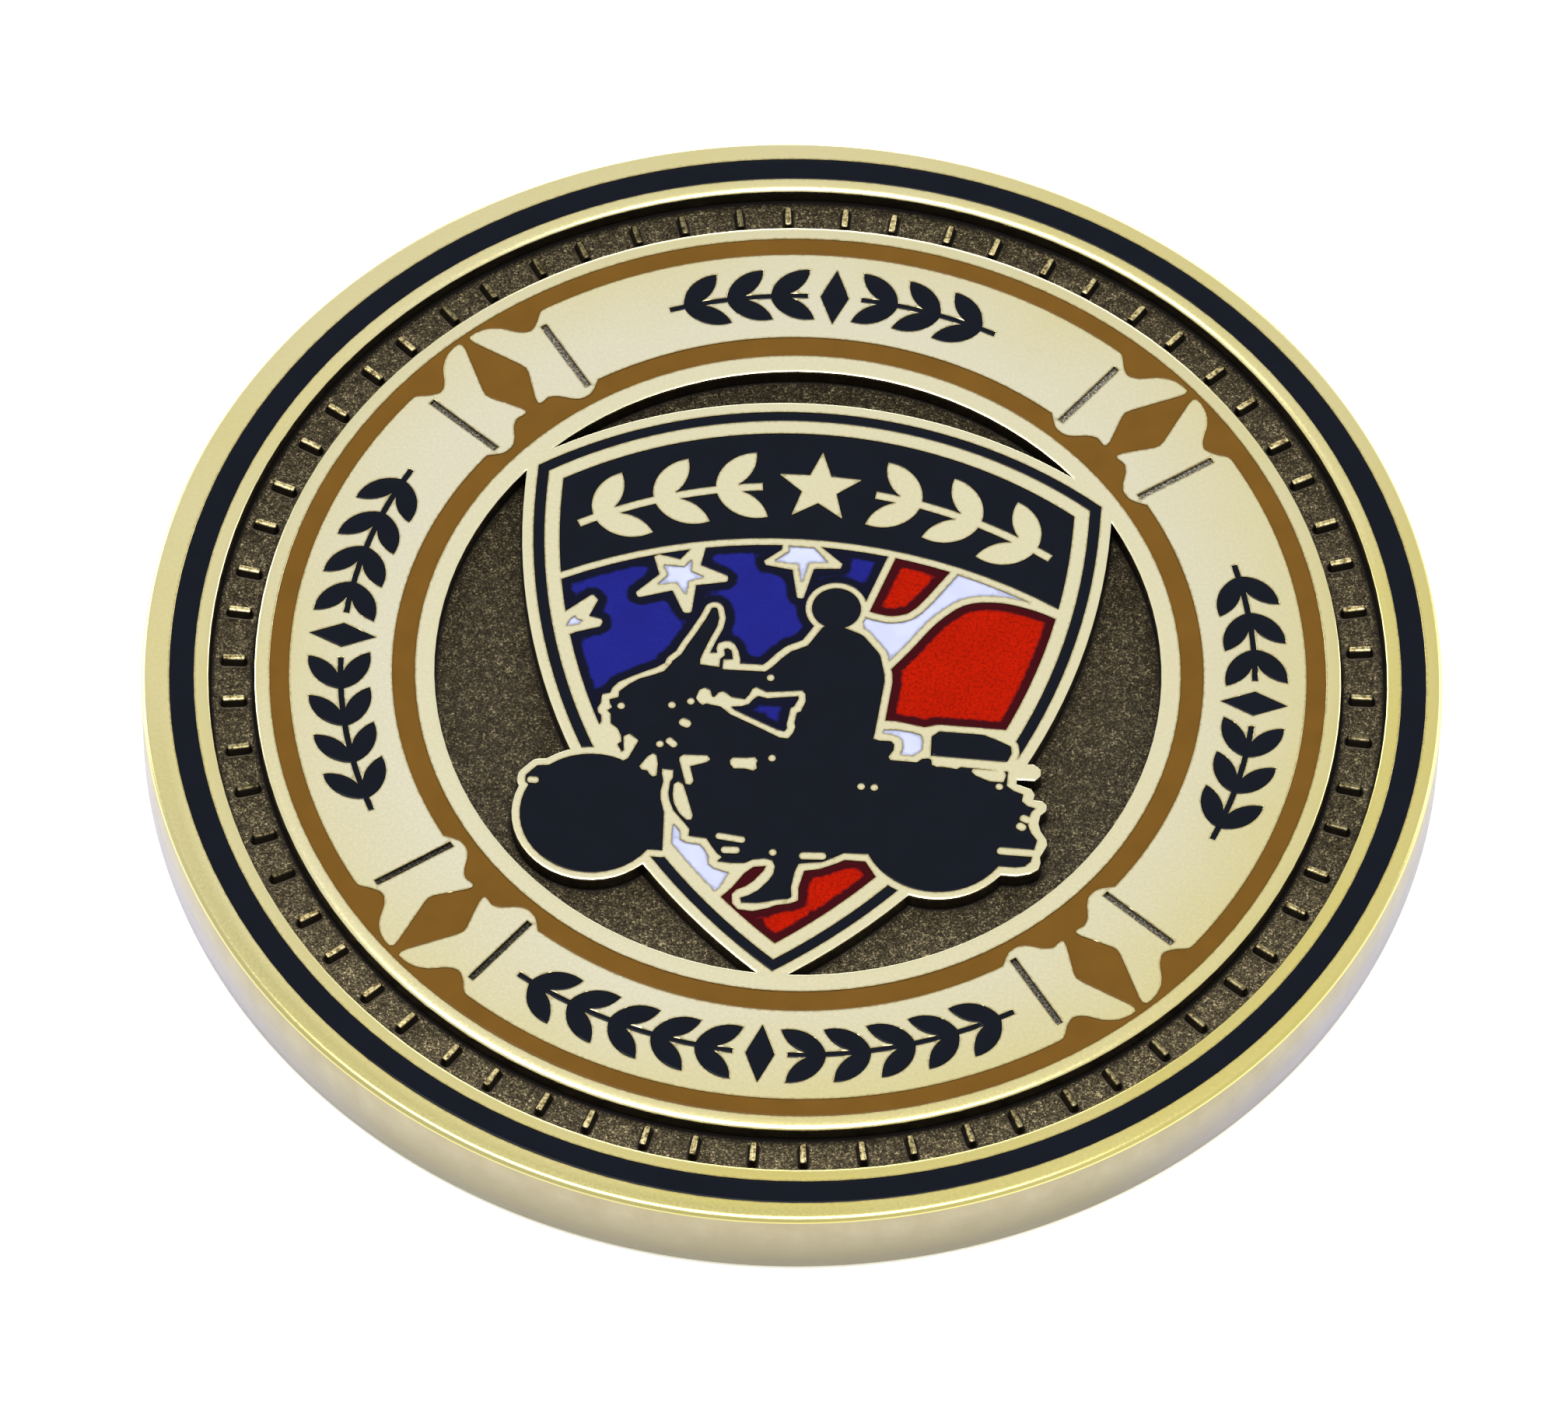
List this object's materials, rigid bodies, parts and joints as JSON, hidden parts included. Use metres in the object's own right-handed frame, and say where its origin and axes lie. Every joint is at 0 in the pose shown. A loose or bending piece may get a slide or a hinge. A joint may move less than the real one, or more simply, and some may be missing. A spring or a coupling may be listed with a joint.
{
  "type": "challenge coin",
  "caption": "Round struck medal with raised gold lines and hard enamel: a shield with a motorcycle rider, ringed by ribbons and fine bars.",
  "frame": {"origin": "centre of the reverse face, on the plane that the coin lies on", "axes": "+Z out of the struck face along the coin's thickness, +Y towards the head of the design, +X towards the tail of the motorcycle"},
  "size_m": [0.0444, 0.0444, 0.003],
  "materials": {
    "struck_gold": "polished gold plating, sandblasted in the recesses",
    "black_enamel": "glossy hard enamel",
    "brown_enamel": "glossy hard enamel",
    "blue_enamel": "glossy hard enamel",
    "red_enamel": "glossy hard enamel",
    "white_enamel": "glossy hard enamel"
  },
  "bodies": {
    "root": {"coin_body": "struck_gold", "rim_enamel": "black_enamel", "scroll_enamel": "brown_enamel", "panel_inlay_top": "black_enamel", "panel_inlay_left": "black_enamel", "panel_inlay_bottom": "black_enamel", "panel_inlay_right": "black_enamel", "border_enamel_upper": "black_enamel", "border_enamel_lower": "black_enamel", "chief_enamel": "black_enamel", "blue_main": "blue_enamel", "blue_window": "blue_enamel", "star_upper": "white_enamel", "star_middle": "white_enamel", "star_left": "white_enamel", "red_small": "red_enamel", "red_large": "red_enamel", "red_lower": "red_enamel", "white_upper": "white_enamel", "white_seat": "white_enamel", "white_lower": "white_enamel", "rider_enamel": "black_enamel", "top_case_enamel": "black_enamel", "reverse_rim_enamel": "black_enamel", "reverse_star_enamel": "blue_enamel"}
  },
  "joints": []
}
